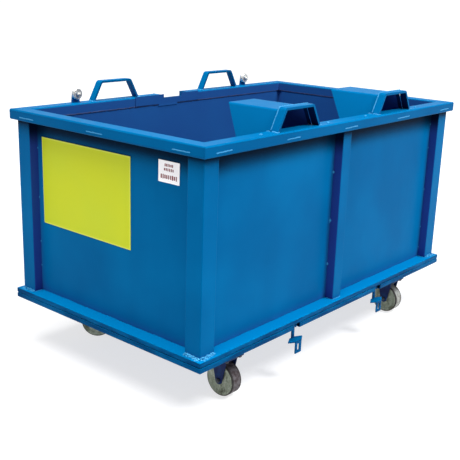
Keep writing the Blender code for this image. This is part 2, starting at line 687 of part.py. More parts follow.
# ---------------------------------------------------------------- castors
def wheel_profile():
    """Closed (radius, along the axle) section of a one-piece nylon wheel."""
    side = WHEEL_WIDTH / 2
    web = side - WHEEL_RECESS
    band = WHEEL_RADIUS - WHEEL_BAND
    upper = [(AXLE_RADIUS + GAP, side + HUB_PROUD), (HUB_RADIUS, side + HUB_PROUD),
             (HUB_RADIUS + HUB_PROUD, web), (band - WHEEL_RECESS, web), (band, side),
             (WHEEL_RADIUS - WHEEL_CHAMFER, side), (WHEEL_RADIUS, side - WHEEL_CHAMFER)]
    return upper + [(radius, -along) for radius, along in reversed(upper)]


def castor_fork(name, x, mount_y, wheel_y, crown_top):
    """Two tapering legs under a crown, bent from one strip."""
    half = WHEEL_WIDTH / 2 + HUB_PROUD + FORK_CLEARANCE + FORK_WALL
    path = [(x + half, 0.0), (x + half, crown_top), (x - half, crown_top), (x - half, 0.0)]
    reach = FORK_TOP_LENGTH
    low, high = min(mount_y, wheel_y) - reach, max(mount_y, wheel_y) + reach
    fork = folded(name, path, low, high, "Y", FORK_WALL, DARK)
    front, back = mount_y - FORK_TOP_LENGTH / 2, mount_y + FORK_TOP_LENGTH / 2
    shoulder = crown_top - 2 * FORK_WALL
    side = [(front, shoulder), (front, crown_top + GAP), (back, crown_top + GAP), (back, shoulder)]
    side += arc((wheel_y, WHEEL_RADIUS), FORK_TIP_RADIUS, 0, -180, 10)
    leg = outline(name + "_leg_shape", side[::-1], 4 * half, (x, 0, 0), "X", DARK)
    combine(fork, leg, "INTERSECT")
    place = (x, wheel_y, WHEEL_RADIUS)
    return cut(fork, cylinder(name + "_hole", AXLE_RADIUS + GAP, 4 * half, place, "X", DARK))


def axle_bolt(name, x, wheel_y):
    half = WHEEL_WIDTH / 2 + HUB_PROUD + FORK_CLEARANCE + FORK_WALL + GAP
    place = Vector((x, wheel_y, WHEEL_RADIUS))
    bolt = cylinder(name, AXLE_RADIUS, 2 * half + AXLE_HEAD, place, "X", ZINC, segments=SMALL_SEGMENTS)
    for end, sign in SIDES:
        spot = place + Vector((sign * (half + AXLE_HEAD / 2), 0, 0))
        head = cylinder(f"{name}_{end}_hex", AXLE_HEAD_RADIUS, AXLE_HEAD, spot, "X", ZINC, segments=HEXAGON)
        add(bolt, head)
    return bolt


def castor_mount(name, x, y):
    half_x, half_y = CASTOR_PLATE_WIDTH / 2, CASTOR_PLATE_LENGTH / 2
    top = CASTOR_HEIGHT - GAP
    return box(name, (x - half_x, y - half_y, top - CASTOR_PLATE), (x + half_x, y + half_y, top), DARK)


def castors(door):
    """Fixed castors under the latch side and swivel castors under the hinge side."""
    plate_bottom = CASTOR_HEIGHT - GAP - CASTOR_PLATE
    crown_top = plate_bottom - GAP - RACE_HEIGHT
    for name, sign in SIDES:
        x = sign * CASTOR_X
        fixed = castor_fork("castor_fork_near_" + name, x, -CASTOR_Y, -CASTOR_Y, plate_bottom + GAP)
        add(fixed, castor_mount("castor_mount_near_" + name, x, -CASTOR_Y))
        attach(fixed, door)
        attach(castor_mount("castor_plate_far_" + name, x, SWIVEL_Y), door)
        swivel = attach(holder("swivel_axis_" + name, (x, SWIVEL_Y, CASTOR_HEIGHT)), door)
        turning = castor_fork("castor_fork_far_" + name, x, SWIVEL_Y, SWIVEL_Y - SWIVEL_TRAIL, crown_top)
        place = (x, SWIVEL_Y, crown_top + RACE_HEIGHT / 2 - GAP)
        add(turning, cylinder("castor_race_" + name, RACE_RADIUS, RACE_HEIGHT + 2 * GAP, place, "Z", DARK))
        attach(turning, swivel)
        for depth, wheel_y, carrier in (("near", -CASTOR_Y, door), ("far", SWIVEL_Y - SWIVEL_TRAIL, swivel)):
            place = Vector((x, wheel_y, WHEEL_RADIUS))
            axle = attach(holder(f"axle_{depth}_{name}", place), carrier)
            attach(turned(f"castor_wheel_{depth}_{name}", wheel_profile(), place, NYLON), axle)
            attach(axle_bolt(f"castor_axle_{depth}_{name}", x, wheel_y), axle)
        swivel.rotation_euler.z = SWIVEL_REST_TURN


def build():
    door = holder("door_hinge_axis", HINGE_AXIS)
    top_rim()
    cord_guide()
    walls()
    corner_posts()
    base_flange()
    fork_ways()
    pulleys()
    boards()
    drop_door(door)
    hinges(door)
    latches(door)
    castors(door)


build()
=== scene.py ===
"""Looks of the drop-bottom skip: paint, welds, boards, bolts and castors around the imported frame."""
import json
import math
import random

import bmesh
import bpy
from mathutils import Matrix, Vector, noise


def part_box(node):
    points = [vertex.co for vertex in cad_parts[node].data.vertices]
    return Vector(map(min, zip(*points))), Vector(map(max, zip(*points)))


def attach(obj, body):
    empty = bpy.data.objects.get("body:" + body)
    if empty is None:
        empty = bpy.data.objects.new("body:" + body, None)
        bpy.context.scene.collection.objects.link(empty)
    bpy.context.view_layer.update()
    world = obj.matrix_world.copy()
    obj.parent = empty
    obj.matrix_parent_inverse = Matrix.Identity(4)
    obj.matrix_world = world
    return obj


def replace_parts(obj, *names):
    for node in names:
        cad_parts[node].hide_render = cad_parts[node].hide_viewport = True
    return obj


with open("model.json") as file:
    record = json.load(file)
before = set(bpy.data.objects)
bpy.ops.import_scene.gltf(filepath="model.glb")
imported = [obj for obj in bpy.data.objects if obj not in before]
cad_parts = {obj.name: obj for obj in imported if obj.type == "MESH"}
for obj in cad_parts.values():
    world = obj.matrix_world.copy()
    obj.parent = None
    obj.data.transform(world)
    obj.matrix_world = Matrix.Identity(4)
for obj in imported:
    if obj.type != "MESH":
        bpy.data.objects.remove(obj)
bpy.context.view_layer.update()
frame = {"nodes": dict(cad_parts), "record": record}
NODES = frame["nodes"]
BODY_OF = {node: body for body, nodes in frame["record"]["behaviour"]["bodies"].items() for node in nodes}
SLOT_OF = {row["node"]: row["material_slot"] for row in frame["record"]["subparts"]}
JOINT_OF = {row["name"]: row for row in frame["record"]["behaviour"]["joints"]}

# ---------------------------------------------------------------- camera, light and floor
CAMERA_PLACE = Vector((-2.6492, -2.1551, 1.4285))
CAMERA_AZIMUTH = math.radians(-49.7187)
CAMERA_ELEVATION = math.radians(16.5147)
CAMERA_ROLL = math.radians(1.8508)
CAMERA_LENS = 64.68
CAMERA_REACH = 2000.0
SENSOR = 36.0
SKY_ABOVE = 0.34
SKY_FADE_START = 0.06
SKY_FADE_END = 0.22
FLOOR_SIZE = 900
FLOOR_GREY = 0.42
FLOOR_GLOW = 0.95
FLOOR_NEAR = 1.6
FLOOR_FAR = 6.0

# ---------------------------------------------------------------- places read from the frame
SIDES = (("left", -1), ("right", 1))
DEPTHS = (("near", -1), ("far", 1))
RIM_LOW, RIM_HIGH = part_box("rim_tube_near")
RIM_TOP = RIM_HIGH.z
RIM_BOTTOM = RIM_LOW.z
HALF_L = RIM_HIGH.x
HALF_W = -RIM_LOW.y
TUBE_WIDTH = RIM_HIGH.y - RIM_LOW.y
FLANGE_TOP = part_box("base_flange_near")[1].z
PANEL_X = -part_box("panel_left")[0].x
PANEL_Y = -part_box("panel_near")[0].y
POST_Y = -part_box("mid_post_near")[0].y
POST_X = -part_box("corner_post_near_left")[0].x
MID_POST_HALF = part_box("mid_post_near")[1].x
WALL_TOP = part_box("panel_near")[1].z
INNER_X = HALF_L - TUBE_WIDTH
INNER_Y = HALF_W - TUBE_WIDTH
WHEEL_LOW, WHEEL_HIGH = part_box("castor_wheel_near_left")
WHEEL_RADIUS = WHEEL_HIGH.z / 2
HUB_HALF = (WHEEL_HIGH - WHEEL_LOW).x / 2

# ---------------------------------------------------------------- rounding of the skins
RIM_RADIUS = 0.0055
BAND_RADIUS = 0.0028
FOLD_RADIUS = 0.0035
EDGE_RADIUS = 0.0008
BAR_RADIUS = 0.0018
SHEET_RADIUS = 0.0010
PANEL_RADIUS = 0.0002
FORK_RADIUS = 0.0015
BOLT_RADIUS = 0.0012
LEVER_RADIUS = 0.0014
BOARD_RADIUS = 0.0006
BAR_BEND = 0.010
SHEET_BEND = 0.007
SHARPEST_FLAT = math.radians(30)
MERGE_DISTANCE = 0.00002
MERGE_ANGLE = math.radians(1.0)

# ---------------------------------------------------------------- welds, a bead's size as (width, rise)
RIM_BEAD = (0.0048, 0.0022)
MITRE_EDGE_BEAD = (0.0035, 0.0014)
MITRE_TOP_BEAD = (0.0040, 0.0009)
MITRE_UNDER_BEAD = (0.0040, 0.0012)
POST_BEAD = (0.0045, 0.0020)
POST_FOOT_BEAD = (0.0050, 0.0022)
CORNER_SIDE_BEAD = (0.0050, 0.0025)
CORNER_FOOT_WIDTH = 0.0070
CORNER_FOOT_RISE = 0.0032
WALL_BEAD = (0.0045, 0.0018)
SEAM_BEAD = (0.0080, 0.0020)
BAR_SIDE_BEAD = (0.0070, 0.0030)
BAR_END_BEAD = (0.0060, 0.0028)
HOOD_FOOT_BEAD = (0.0060, 0.0026)
COLLAR_BEAD = (0.0050, 0.0020)
HINGE_BEAD = (0.0040, 0.0014)
MEMBER_BEAD = (0.0050, 0.0020)
STITCH_PITCH = 0.370
STITCH_LENGTH = 0.086
STITCH_Z = RIM_TOP - 0.027
SEAM_Z = RIM_BOTTOM - 0.0010
POST_STITCHES = (0.283, 0.382, 0.560, 0.753, 0.860)
WALL_STITCH_HALF = 0.03
MEMBER_STITCH_HALF = 0.025
COLLAR_TAPER = 0.65
BEAD_SIDES = 8
BEAD_PITCH = 0.005
BEAD_ROUGHNESS = 0.35
BEAD_SINK = 0.0002
WELD_SMOOTH = 60.0
BOLT_SMOOTH = 30.0
SPATTER_COUNT = 48
SPATTER_REACH = 0.016

# ---------------------------------------------------------------- fasteners and wheels
WASHER_RADIUS = 0.0085
WASHER_THICK = 0.0014
NUT_FLATS = 0.013
NUT_THICK = 0.0065
PULLEY_WASHER_RADIUS = 0.0098
PULLEY_NUT_FLATS = 0.0145
PULLEY_NUT_THICK = 0.0062
AXLE_NUT_FLATS = 0.0125
AXLE_NUT_THICK = 0.0030
PIN_HEAD = ((0.0052, -0.0002), (0.0056, 0.0003), (0.0056, 0.0007), (0.0048, 0.0010))
WHEEL_HALF = 0.025
WHEEL_WEB = WHEEL_HALF - 0.002
WHEEL_CORNER = 0.0042
BORE = 0.0063
WHEEL_SEGMENTS = 96

# ---------------------------------------------------------------- printed marks
STROKE_SIDES = 16
STROKE_RISE = 0.00025
STROKE_THICK = 0.0003

# ---------------------------------------------------------------- paint
FADE = 0.001
UNDER_RIM_REACH = 0.105
UNDER_RIM_FULL = 0.030
PAINT_SHINE = 0.015
PAINT_TINT = (0.02, 0.42, 1.0, 1.0)
# Painted shadow colour under the rim.
UNDER_RIM_SHADOW = (0.001, 0.003, 0.009)
# Painted highlight colour for the flange's upper face.
FLANGE_TOP_HIGHLIGHT = (0.000, 0.215, 0.520)
BASE_DARKENING = (0.000, 0.034, 0.115)
# Painted shade colour for the inside of the box.
SHADE = (0.022, 0.060, 0.265)
NYLON_PALE = (0.215, 0.250, 0.180)
NYLON_STAIN = (0.060, 0.075, 0.036)
NYLON_FLECK = (0.370, 0.410, 0.330)
NYLON_GRIME = (0.060, 0.030, 0.018)
# Painted shade colour for the nylon's corners.
NYLON_CORNER_SHADE = (0.020, 0.020, 0.015)
BOARD_EDGE_START = 0.006
BOARD_EDGE_END = 0.003


# ---------------------------------------------------------------- studio
def add_camera():
    data = bpy.data.cameras.new("camera")
    data.lens = CAMERA_LENS
    data.sensor_width = SENSOR
    data.clip_end = CAMERA_REACH
    camera = bpy.data.objects.new("camera", data)
    bpy.context.scene.collection.objects.link(camera)
    back = Vector((math.sin(CAMERA_AZIMUTH) * math.cos(CAMERA_ELEVATION),
                   -math.cos(CAMERA_AZIMUTH) * math.cos(CAMERA_ELEVATION), math.sin(CAMERA_ELEVATION)))
    flat_right = Vector((0, 0, 1)).cross(back).normalized()
    flat_up = back.cross(flat_right)
    right = math.cos(CAMERA_ROLL) * flat_right + math.sin(CAMERA_ROLL) * flat_up
    up = -math.sin(CAMERA_ROLL) * flat_right + math.cos(CAMERA_ROLL) * flat_up
    turned = Matrix((right, up, back)).transposed().to_4x4()
    camera.matrix_world = Matrix.Translation(CAMERA_PLACE) @ turned
    bpy.context.scene.camera = camera


def area_light(name, place, aim, size, power):
    data = bpy.data.lights.new(name, "AREA")
    data.shape = "DISK"
    data.size = size
    data.energy = power
    lamp = bpy.data.objects.new(name, data)
    bpy.context.scene.collection.objects.link(lamp)
    lamp.location = place
    lamp.rotation_euler = (Vector(aim) - Vector(place)).to_track_quat("-Z", "Y").to_euler()


def add_light():
    """A world that is white at the horizon and dimmer above, and two large soft lamps."""
    world = bpy.data.worlds.new("studio")
    bpy.context.scene.world = world
    world.use_nodes = True
    tree = world.node_tree
    split = tree.nodes.new("ShaderNodeSeparateXYZ")
    tree.links.new(tree.nodes.new("ShaderNodeTexCoord").outputs["Generated"], split.inputs["Vector"])
    fade = tree.nodes.new("ShaderNodeMapRange")
    limits = {"From Min": SKY_FADE_START, "From Max": SKY_FADE_END, "To Min": 1.0, "To Max": SKY_ABOVE}
    for key, value in limits.items():
        fade.inputs[key].default_value = value
    tree.links.new(split.outputs["Z"], fade.inputs["Value"])
    tree.links.new(fade.outputs["Result"], tree.nodes["Background"].inputs["Color"])
    area_light("key", place=(1.9, -4.6, 6.6), aim=(0.1, 0.0, 0.5), size=2.6, power=620)
    area_light("top", place=(-2.6, 0.0, 7.6), aim=(0.0, 0.0, 0.5), size=4.6, power=600)


def add_floor():
    bpy.ops.mesh.primitive_plane_add(size=FLOOR_SIZE, location=(0, 0, 0))
    floor = bpy.context.object
    floor.name = "floor"
    # The floor glows as painted light: dimmer near the skip, where it lifts the shadow under it, and full
    # white far off.
    nodes = Nodes("glowing_floor")
    away = nodes.new("ShaderNodeVectorMath", operation="LENGTH")
    nodes.link(nodes.place, away.inputs[0])
    glow = nodes.ramp(away.outputs["Value"], FLOOR_NEAR, FLOOR_FAR)
    nodes.link(nodes.mix(glow, (0.72, 0.72, 0.72), (1.0, 1.0, 1.0)), nodes.shader.inputs["Emission Color"])
    nodes.constants(Base_Color=(FLOOR_GREY, FLOOR_GREY, FLOOR_GREY, 1.0), Roughness=1.0,
                    Specular_IOR_Level=0.0, Emission_Strength=FLOOR_GLOW)
    floor.data.materials.append(nodes.material)


# ---------------------------------------------------------------- material nodes
class Nodes:
    """Short calls for building a node material."""

    def __init__(self, name):
        self.material = bpy.data.materials.new(name)
        self.material.use_nodes = True
        self.tree = self.material.node_tree
        self.shader = self.tree.nodes["Principled BSDF"]
        self.place = self.new("ShaderNodeTexCoord").outputs["Object"]

    def new(self, kind, **values):
        node = self.tree.nodes.new(kind)
        for key, value in values.items():
            setattr(node, key, value)
        return node

    def link(self, source, target):
        self.tree.links.new(source, target)

    def noise(self, scale, detail=4.0, roughness=0.5, stretch=None, distortion=0.0):
        source = self.place
        if stretch:
            mapping = self.new("ShaderNodeMapping")
            mapping.inputs["Scale"].default_value = stretch
            self.link(self.place, mapping.inputs["Vector"])
            source = mapping.outputs["Vector"]
        node = self.new("ShaderNodeTexNoise")
        node.inputs["Scale"].default_value = scale
        node.inputs["Detail"].default_value = detail
        node.inputs["Roughness"].default_value = roughness
        node.inputs["Distortion"].default_value = distortion
        self.link(source, node.inputs["Vector"])
        return node.outputs["Fac"]

    def ramp(self, source, low, high, invert=False):
        node = self.new("ShaderNodeMapRange", interpolation_type="SMOOTHSTEP")
        node.inputs["From Min"].default_value = low
        node.inputs["From Max"].default_value = high
        node.inputs["To Min"].default_value = 1.0 if invert else 0.0
        node.inputs["To Max"].default_value = 0.0 if invert else 1.0
        self.link(source, node.inputs["Value"])
        return node.outputs["Result"]

    def pattern(self, scale, low, high, **shape):
        """Noise cut to patches: nothing under the low level and full over the high one."""
        return self.ramp(self.noise(scale, **shape), low, high)

    def scaled(self, source, low, high):
        node = self.new("ShaderNodeMapRange")
        node.inputs["To Min"].default_value = low
        node.inputs["To Max"].default_value = high
        self.link(source, node.inputs["Value"])
        return node.outputs["Result"]

    def math(self, operation, first, second):
        node = self.new("ShaderNodeMath", operation=operation)
        for socket, value in zip(node.inputs, (first, second)):
            if isinstance(value, (int, float)):
                socket.default_value = value
            else:
                self.link(value, socket)
        return node.outputs["Value"]

    def times(self, first, second):
        return self.math("MULTIPLY", first, second)

    def mix(self, factor, first, second):
        node = self.new("ShaderNodeMix", data_type="RGBA")
        for socket, value in ((node.inputs[0], factor), (node.inputs[6], first), (node.inputs[7], second)):
            if isinstance(value, tuple):
                socket.default_value = (*value, 1.0)
            elif isinstance(value, (int, float)):
                socket.default_value = value
            else:
                self.link(value, socket)
        return node.outputs[2]

    def tint(self, color, other, mask, amount):
        """Another colour over the first one where a mask says, up to an amount."""
        return self.mix(self.times(mask, amount), color, other)

    def part(self, vector, axis):
        node = self.new("ShaderNodeSeparateXYZ")
        self.link(vector, node.inputs["Vector"])
        return node.outputs[axis]

    def height(self):
        return self.part(self.place, "Z")

    def facing(self, axis):
        return self.part(self.new("ShaderNodeTexCoord").outputs["Normal"], axis)

    def distance(self, axis, middle=0.0):
        return self.math("ABSOLUTE", self.math("SUBTRACT", self.part(self.place, axis), middle), 0.0)

    def beyond(self, axis, limit):
        """Where the surface lies at or outside a wall's face."""
        return self.ramp(self.distance(axis), limit - 2 * FADE, limit - FADE)

    def crevice(self, distance):
        node = self.new("ShaderNodeAmbientOcclusion", samples=8)
        node.inputs["Distance"].default_value = distance
        return node.outputs["AO"]

    def color(self, source):
        self.link(source, self.shader.inputs["Base Color"])

    def roughness(self, source):
        self.link(source, self.shader.inputs["Roughness"])

    def bump(self, *layers):
        """Stacked bump maps, each (height, strength, distance)."""
        normal = None
        for source, strength, distance in layers:
            node = self.new("ShaderNodeBump")
            node.inputs["Strength"].default_value = strength
            node.inputs["Distance"].default_value = distance
            self.link(source, node.inputs["Height"])
            if normal:
                self.link(normal, node.inputs["Normal"])
            normal = node.outputs["Normal"]
        self.link(normal, self.shader.inputs["Normal"])

    def constants(self, **values):
        for key, value in values.items():
            self.shader.inputs[key.replace("_", " ")].default_value = value


def worn_enamel(nodes, base, light, dark, scuff):
    """The enamel's own colour: rolled patches, runs down the wall, specks and scuffs."""
    patches = nodes.pattern(2.3, 0.35, 0.7, detail=3.0)
    streaks = nodes.pattern(6.0, 0.4, 0.75, detail=5.0, roughness=0.6, stretch=(1.0, 1.0, 0.18))
    speckle = nodes.pattern(220.0, 0.56, 0.72, detail=3.0, roughness=0.7)
    color = nodes.tint(base, light, patches, 0.45)
    color = nodes.tint(color, dark, streaks, 0.18)
    color = nodes.tint(color, dark, speckle, 0.14)
    return nodes.tint(color, light, scuff, 0.20)


def flange_top(nodes, height, upward):
    """Where the surface is the upper face of the base flange."""
    over = nodes.ramp(height, FLANGE_TOP - 0.0010, FLANGE_TOP - 0.0004)
    under = nodes.ramp(height, FLANGE_TOP, FLANGE_TOP + 0.003, invert=True)
    return nodes.times(upward, nodes.times(over, under))


def base_darkening(nodes, height, upward):
    """Where the base below the flange top is darker: a little all over, more in long stains, and less so on
    its upper faces.
    """
    base = nodes.ramp(height, FLANGE_TOP - 2 * FADE, FLANGE_TOP - FADE, invert=True)
    stains = nodes.pattern(16.0, 0.38, 0.62, detail=5.0, roughness=0.7, stretch=(0.35, 0.35, 2.2))
    stains = nodes.times(base, nodes.scaled(stains, 0.30, 0.90))
    return nodes.times(stains, nodes.scaled(upward, 1.0, 0.35))


def rim_shadow(nodes, height, outside):
    """Painted shadow: the dark band on the outer walls close under the rim."""
    near_rim = nodes.ramp(height, WALL_TOP - UNDER_RIM_REACH, WALL_TOP - UNDER_RIM_FULL)
    on_wall = nodes.ramp(height, WALL_TOP, WALL_TOP + FADE, invert=True)
    closed_in = nodes.ramp(nodes.crevice(0.11), 0.80, 0.99, invert=True)
    shaded = nodes.times(nodes.times(near_rim, on_wall), closed_in)
    return nodes.times(shaded, nodes.scaled(outside, 0.0, 0.95))


def paint(name, base, light, dark, crevice_shade, shine=PAINT_SHINE):
    """Brushed and rolled enamel, with painted light on its upper faces, painted shade in crevices, inside
    the box, on the rim's sides and under the rim, and a darker base.
    """
    nodes = Nodes(name)
    height = nodes.height()
    upward = nodes.ramp(nodes.facing("Z"), 0.10, 0.55)
    outside = nodes.math("MAXIMUM", nodes.beyond("X", PANEL_X), nodes.beyond("Y", PANEL_Y))
    scuff = nodes.pattern(38.0, 0.66, 0.78, detail=6.0, roughness=0.75, stretch=(1.0, 1.0, 0.5),
                          distortion=0.6)
    color = worn_enamel(nodes, base, light, dark, scuff)
    # Painted shade: faces above the rim's bottom that don't look up are tinted towards the dark colour.
    rim_side_shade = nodes.ramp(height, RIM_BOTTOM, RIM_BOTTOM + FADE)
    color = nodes.tint(color, dark, rim_side_shade, nodes.scaled(upward, 0.40, 0.0))
    # Painted shade inside the box, less on faces that look up.
    inside = nodes.math("SUBTRACT", 1.0, outside)
    color = nodes.tint(color, SHADE, inside, nodes.scaled(upward, 0.6, 0.0))
    # Painted shade: ambient occlusion darkens corners and crevices towards the crevice shade colour, less on
    # upward faces.
    corner = nodes.ramp(nodes.crevice(0.055), 0.25, 0.90, invert=True)
    color = nodes.tint(color, crevice_shade, corner, nodes.scaled(upward, 0.34, 0.08))
    # Painted light: faces that look up are tinted towards the light colour.
    color = nodes.tint(color, light, upward, 0.55)
    # Painted highlight on the flange's upper face.
    color = nodes.tint(color, FLANGE_TOP_HIGHLIGHT, flange_top(nodes, height, upward), 0.8)
    color = nodes.mix(base_darkening(nodes, height, upward), color, BASE_DARKENING)
    # Painted shadow under the rim on the outer walls.
    color = nodes.mix(rim_shadow(nodes, height, outside), color, UNDER_RIM_SHADOW)
    nodes.color(color)
    gloss = nodes.scaled(nodes.noise(9.0), 0.24, 0.44)
    nodes.roughness(nodes.math("ADD", gloss, nodes.times(scuff, 0.12)))
    nodes.bump((nodes.noise(420.0, detail=2.0), 0.10, 0.0006), (nodes.noise(14.0, detail=2.0), 0.16, 0.004))
    nodes.constants(Metallic=0.0, Specular_IOR_Level=shine, Specular_Tint=PAINT_TINT)
    return nodes.material


def plain_coat(name, base, patch, scale, rough, bump=0.1, metallic=0.0, shine=0.4):
    """A finish in two tones with uneven gloss and a fine grain."""
    nodes = Nodes(name)
    nodes.color(nodes.mix(nodes.pattern(scale, 0.4, 0.7, detail=5.0, roughness=0.6), base, patch))
    nodes.roughness(nodes.scaled(nodes.noise(scale * 2.0, detail=3.0), rough - 0.08, rough + 0.12))
    nodes.bump((nodes.noise(scale * 24.0, detail=3.0), bump, 0.0005))
    nodes.constants(Metallic=metallic, Specular_IOR_Level=shine)
    return nodes.material


def worn_nylon(name):
    """Cast nylon stained by dirt, with pale flecks, grime, and painted shade in its corners."""
    nodes = Nodes(name)
    stains = nodes.pattern(26.0, 0.42, 0.62, detail=6.0, roughness=0.7, stretch=(1.0, 1.0, 0.6),
                           distortion=0.8)
    flecks = nodes.pattern(44.0, 0.50, 0.62, detail=6.0, roughness=0.75, stretch=(1.0, 1.0, 0.45),
                           distortion=0.6)
    grime = nodes.pattern(95.0, 0.56, 0.70, detail=5.0, roughness=0.75)
    corner = nodes.ramp(nodes.crevice(0.02), 0.3, 0.9, invert=True)
    color = nodes.mix(stains, NYLON_PALE, NYLON_STAIN)
    color = nodes.tint(color, NYLON_FLECK, flecks, 0.75)
    color = nodes.tint(color, NYLON_GRIME, grime, 0.75)
    # Painted shade: ambient occlusion darkens the nylon's corners.
    color = nodes.tint(color, NYLON_CORNER_SHADE, corner, 0.7)
    nodes.color(color)
    nodes.roughness(nodes.scaled(nodes.noise(50.0, detail=3.0), 0.42, 0.70))
    nodes.bump((nodes.noise(300.0), 0.25, 0.0008), (grime, 0.2, 0.0006))
    return nodes.material


def board_coat(name, base, dirty, edge, node):
    """Printed board with a paler border, worked out from the distance to its edges."""
    nodes = Nodes(name)
    low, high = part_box(node)
    half, middle = (high - low) / 2, (high + low) / 2
    across = nodes.ramp(nodes.distance("Y", middle.y), half.y - BOARD_EDGE_START, half.y - BOARD_EDGE_END)
    upward = nodes.ramp(nodes.distance("Z", middle.z), half.z - BOARD_EDGE_START, half.z - BOARD_EDGE_END)
    color = nodes.mix(nodes.pattern(5.0, 0.3, 0.75, detail=3.0), base, dirty)
    nodes.color(nodes.tint(color, edge, nodes.math("MAXIMUM", across, upward), 0.8))
    nodes.roughness(nodes.scaled(nodes.noise(20.0, detail=3.0), 0.32, 0.5))
    nodes.bump((nodes.noise(600.0, detail=2.0), 0.05, 0.0004))
    nodes.constants(Specular_IOR_Level=0.10)
    return nodes.material


BLUE = paint("blue_enamel", base=(0.000, 0.090, 0.248), light=(0.000, 0.150, 0.370),
             dark=(0.000, 0.060, 0.175), crevice_shade=(0.040, 0.085, 0.400))
# Shaded copy of the enamel: painted shade for the posts' side faces.
SIDE_SHADE = paint("blue_side_shade", base=(0.016, 0.044, 0.235), light=(0.010, 0.060, 0.260),
             dark=(0.010, 0.030, 0.180), crevice_shade=(0.014, 0.022, 0.160))
# Near-black copy of the enamel: painted shade inside the fork ways.
INNER_SHADE = paint("blue_inner_shade", base=(0.000, 0.008, 0.045), light=(0.000, 0.016, 0.070),
              dark=(0.000, 0.004, 0.028), crevice_shade=(0.002, 0.004, 0.025))
# Lighter, glossier enamel for the weld beads: the lighter colour is painted highlight.
WELD_LIT = paint("blue_weld_lit", base=(0.020, 0.200, 0.420), light=(0.070, 0.310, 0.560),
             dark=(0.000, 0.130, 0.330), crevice_shade=(0.010, 0.060, 0.200), shine=0.25)
# Pale, shiny enamel for the spatter: the pale colour is painted glint.
SPATTER_GLINT = paint("blue_spatter_glint", base=(0.000, 0.220, 0.480), light=(0.120, 0.480, 0.780),
              dark=(0.000, 0.160, 0.400), crevice_shade=(0.000, 0.160, 0.400), shine=0.5)
# Near-black for the wheels' rounded tread corners.
WHEEL_EDGE_DARK = plain_coat("wheel_edge_dark", (0.014, 0.012, 0.012), (0.050, 0.045, 0.040), scale=120.0, rough=0.7)
# Darker tread for the left wheels, as painted shade; the right wheels get the pale tread.
TREAD_SHADE = plain_coat("shaded_tread", (0.110, 0.100, 0.108), (0.030, 0.016, 0.018), scale=75.0, rough=0.6,
                   bump=0.3, shine=0.2)
PALE_TREAD = plain_coat("pale_tread", (0.330, 0.340, 0.320), (0.130, 0.120, 0.105), scale=60.0, rough=0.5,
                        bump=0.3, shine=0.3)
# Dark colour for the seam bead under the rim inside: a painted shadow line.
SEAM_SHADOW = plain_coat("seam_shadow", (0.001, 0.012, 0.070), (0.001, 0.026, 0.120), scale=30.0, rough=0.5)
DARK = plain_coat("dark_fork", (0.003, 0.010, 0.060), (0.002, 0.028, 0.110), scale=40.0, rough=0.42,
                  shine=0.12)
BOLT = plain_coat("dark_bolt", (0.020, 0.026, 0.040), (0.060, 0.060, 0.058), scale=120.0, rough=0.42,
                  metallic=0.4)
ZINC = plain_coat("zinc_steel", (0.900, 0.900, 0.860), (0.560, 0.550, 0.520), scale=90.0, rough=0.30,
                  metallic=0.75)
NYLON = worn_nylon("worn_nylon")
YELLOW = board_coat("yellow_board", (0.490, 0.545, 0.014), (0.465, 0.540, 0.020), (0.60, 0.66, 0.09),
                    "sign_board")
WHITE = board_coat("white_plate", (0.970, 0.960, 0.970), (0.900, 0.880, 0.910), (0.98, 0.98, 0.98),
                   "rating_plate")
MARK = plain_coat("plate_ink", (0.230, 0.022, 0.025), (0.110, 0.020, 0.030), scale=160.0, rough=0.5)
COATS = {"blue_paint": BLUE, "yellow_board": YELLOW, "white_plate": WHITE, "dark_fork": DARK,
         "nylon_wheel": NYLON, "zinc_steel": ZINC}


# ---------------------------------------------------------------- mesh helpers
def piece(name, bm, material, body, smooth=35.0):
    """A finished piece from a bmesh, shaded smooth up to an angle and riding on a body."""
    bmesh.ops.recalc_face_normals(bm, faces=bm.faces)
    mesh = bpy.data.meshes.new(name)
    bm.to_mesh(mesh)
    bm.free()
    mesh.materials.append(material)
    mesh.shade_smooth()
    mesh.set_sharp_from_angle(angle=math.radians(smooth))
    item = bpy.data.objects.new(name, mesh)
    bpy.context.scene.collection.objects.link(item)
    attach(item, body)
    return item


def edge_width(edge, widest):
    """Rounding that fits an edge: none on flat or hollow edges, less beside narrow faces."""
    if len(edge.link_faces) != 2 or not edge.is_convex or edge.calc_face_angle(0.0) < SHARPEST_FLAT:
        return 0.0
    length = edge.calc_length()
    room = min(face.calc_area() / length for face in edge.link_faces)
    for vert in edge.verts:
        for other in vert.link_edges:
            if other is not edge and any(face in edge.link_faces for face in other.link_faces):
                room = min(room, 1.2 * other.calc_length())
    return min(widest, 0.35 * room)


def is_bend(edge):
    """Bend lines of the fork ways run along Y, above the rim."""
    run = edge.verts[1].co - edge.verts[0].co
    return abs(run.y) > 0.999 * run.length and edge.verts[0].co.z > RIM_TOP + 0.002


def skin(node, material=None, widest=EDGE_RADIUS, segments=2, only=None, bend=0.0):
    """The CAD node's shape as one clean mesh with rounded edges, standing for the node."""
    most = max(widest, bend)
    bm = bmesh.new()
    bm.from_mesh(NODES[node].data)
    bmesh.ops.remove_doubles(bm, verts=bm.verts, dist=MERGE_DISTANCE)
    bmesh.ops.dissolve_limit(bm, angle_limit=MERGE_ANGLE, verts=bm.verts, edges=bm.edges)
    bmesh.ops.recalc_face_normals(bm, faces=bm.faces)
    weights = bm.edges.layers.float.new("bevel_weight_edge")
    for edge in bm.edges:
        if only is None or only(edge):
            edge[weights] = edge_width(edge, most if bend and is_bend(edge) else widest) / most
    item = piece(node + "_skin", bm, material or COATS[SLOT_OF[node]], BODY_OF[node])
    bevel = item.modifiers.new("rounding", "BEVEL")
    bevel.limit_method = "WEIGHT"
    bevel.width = most
    bevel.segments = segments
    bevel.use_clamp_overlap = False
    bevel.harden_normals = True
    bevel.miter_outer = "MITER_ARC"
    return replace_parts(item, node)


